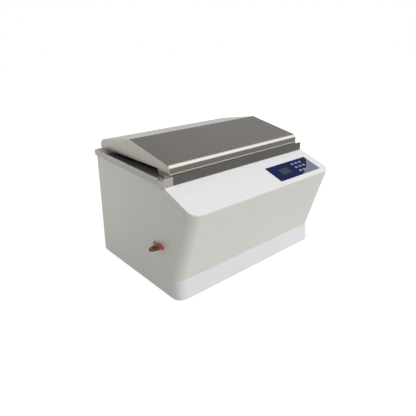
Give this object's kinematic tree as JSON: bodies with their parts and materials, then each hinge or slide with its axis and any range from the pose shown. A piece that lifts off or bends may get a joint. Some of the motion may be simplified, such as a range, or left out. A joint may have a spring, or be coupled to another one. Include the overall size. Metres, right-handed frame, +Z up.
{
  "type": "shaking water bath",
  "caption": "Benchtop shaking water bath: slanted control panel, hinged gable lid, drain valve and a magnetically driven flask tray.",
  "frame": {"origin": "on the bench under the middle of the whole bath's bounding box, valve included", "axes": "+Z up, +Y towards the back, +X to the right as seen from the front"},
  "size_m": [0.6214, 0.522, 0.4249],
  "materials": {
    "casing_paint": "satin textured enamel",
    "fascia_white": "satin",
    "trim_paint": "satin",
    "stainless": "brushed",
    "zinc_steel": "zinc plated",
    "black_rubber": "matte",
    "grey_rubber": "matte",
    "foam": "matte foam",
    "brass": "cast",
    "nickel_plate": "plated",
    "red_sleeve": "soft vinyl",
    "white_ptfe": "waxy",
    "aluminium": "machined",
    "magnet_ferrite": "coated",
    "motor_paint": "satin",
    "keypad_blue": "satin film",
    "key_white": "satin",
    "display_glass": "clear",
    "board_green": "solder mask",
    "transformer_steel": "varnished",
    "black_plastic": "satin"
  },
  "bodies": {
    "casing": {"outer_casing": "casing_paint", "control_fascia": "fascia_white", "rim_trim": "trim_paint", "rear_panel": "casing_paint", "base_plate": "zinc_steel", "rubber_feet": "black_rubber", "casing_screws": "zinc_steel", "tank_deck": "stainless", "tank_bowl": "stainless", "tank_insulation": "foam", "heater_tube": "stainless", "temperature_probes": "stainless", "fitting_nuts": "nickel_plate", "floor_rails": "stainless", "drain_fitting": "brass", "drain_pipe": "grey_rubber", "valve_body": "brass", "hinge_leaves_fixed": "stainless", "hinge_pins": "stainless", "drive_frame": "zinc_steel", "crank_bearings": "nickel_plate", "rod_supports": "aluminium", "guide_rods": "nickel_plate", "gear_motor": "motor_paint", "drive_belt": "black_rubber", "keypad_overlay": "keypad_blue", "display_window": "display_glass", "control_board": "board_green", "power_supply": "transformer_steel", "mains_inlet": "black_plastic", "switch_housing": "black_plastic"},
    "lid": {"lid_shell": "stainless", "lid_pads": "grey_rubber", "hinge_leaves_lid": "stainless"},
    "drain_handle": {"valve_ball": "nickel_plate", "valve_stem": "brass", "valve_lever": "zinc_steel", "lever_sleeve": "red_sleeve"},
    "tray": {"shaking_tray": "stainless", "tray_runners": "white_ptfe", "tray_magnets": "magnet_ferrite", "clamp_bases": "stainless", "clamp_fingers": "stainless"},
    "carriage": {"drive_carriage": "aluminium", "slide_bushes": "brass", "carriage_magnets": "magnet_ferrite"},
    "link": {"connecting_rod": "aluminium"},
    "crank": {"crank_pulley": "aluminium"},
    "motor_rotor": {"motor_shaft": "zinc_steel", "motor_pulley": "aluminium"},
    "fuse_holder": {"fuse_drawer": "black_plastic"},
    "rocker": {"power_rocker": "black_plastic"},
    "key_1_cap": {"key_1": "key_white"},
    "key_2_cap": {"key_2": "key_white"},
    "key_3_cap": {"key_3": "key_white"},
    "key_4_cap": {"key_4": "key_white"},
    "key_5_cap": {"key_5": "key_white"},
    "key_6_cap": {"key_6": "key_white"},
    "key_7_cap": {"key_7": "key_white"},
    "key_8_cap": {"key_8": "key_white"}
  },
  "joints": [
    {"name": "lid_swing", "type": "hinge", "parent": "casing", "child": "lid", "pos_m": [0.01073, 0.2575, 0.368], "axis": [-1, 0, 0], "range_deg": [0, 100]},
    {"name": "drain_turn", "type": "hinge", "parent": "casing", "child": "drain_handle", "pos_m": [-0.29348, -0.097, 0.161], "axis": [0, 0, -1], "range_deg": [0, 90]},
    {"name": "carriage_slide", "type": "slide", "parent": "casing", "child": "carriage", "axis": [1, 0, 0], "range_m": [-0.015, 0.015]},
    {"name": "tray_slide", "type": "slide", "parent": "casing", "child": "tray", "axis": [1, 0, 0], "range_m": [-0.015, 0.015]},
    {"name": "link_pivot", "type": "hinge", "parent": "carriage", "child": "link", "pos_m": [0.03931, 0.065, 0.132], "axis": [0, 0, 1], "range_deg": [0, 21.61]},
    {"name": "crank_spin", "type": "hinge", "parent": "casing", "child": "crank", "pos_m": [-0.03927, 0.065, 0.12], "axis": [0, 0, 1], "continuous": true},
    {"name": "motor_spin", "type": "hinge", "parent": "casing", "child": "motor_rotor", "pos_m": [-0.19927, 0.065, 0.12], "axis": [0, 0, 1], "continuous": true},
    {"name": "fuse_slide", "type": "slide", "parent": "casing", "child": "fuse_holder", "axis": [0, 1, 0], "range_m": [0, 0.014]},
    {"name": "power_rock", "type": "hinge", "parent": "casing", "child": "rocker", "pos_m": [0.16073, 0.24, 0.07], "axis": [1, 0, 0], "range_deg": [0, 16]},
    {"name": "key_1_press", "type": "slide", "parent": "casing", "child": "key_1_cap", "axis": [0, 0.3436, -0.9391], "range_m": [0, 0.0008], "stiffness_N_per_m": 500},
    {"name": "key_2_press", "type": "slide", "parent": "casing", "child": "key_2_cap", "axis": [0, 0.3436, -0.9391], "range_m": [0, 0.0008], "stiffness_N_per_m": 500},
    {"name": "key_3_press", "type": "slide", "parent": "casing", "child": "key_3_cap", "axis": [0, 0.3436, -0.9391], "range_m": [0, 0.0008], "stiffness_N_per_m": 500},
    {"name": "key_4_press", "type": "slide", "parent": "casing", "child": "key_4_cap", "axis": [0, 0.3436, -0.9391], "range_m": [0, 0.0008], "stiffness_N_per_m": 500},
    {"name": "key_5_press", "type": "slide", "parent": "casing", "child": "key_5_cap", "axis": [0, 0.3436, -0.9391], "range_m": [0, 0.0008], "stiffness_N_per_m": 500},
    {"name": "key_6_press", "type": "slide", "parent": "casing", "child": "key_6_cap", "axis": [0, 0.3436, -0.9391], "range_m": [0, 0.0008], "stiffness_N_per_m": 500},
    {"name": "key_7_press", "type": "slide", "parent": "casing", "child": "key_7_cap", "axis": [0, 0.3436, -0.9391], "range_m": [0, 0.0008], "stiffness_N_per_m": 500},
    {"name": "key_8_press", "type": "slide", "parent": "casing", "child": "key_8_cap", "axis": [0, 0.3436, -0.9391], "range_m": [0, 0.0008], "stiffness_N_per_m": 500}
  ],
  "couplings": [
    {"joint": "motor_spin", "follows": "crank_spin", "ratio": 2.3873},
    {"joint": "tray_slide", "follows": "carriage_slide", "ratio": 1}
  ]
}
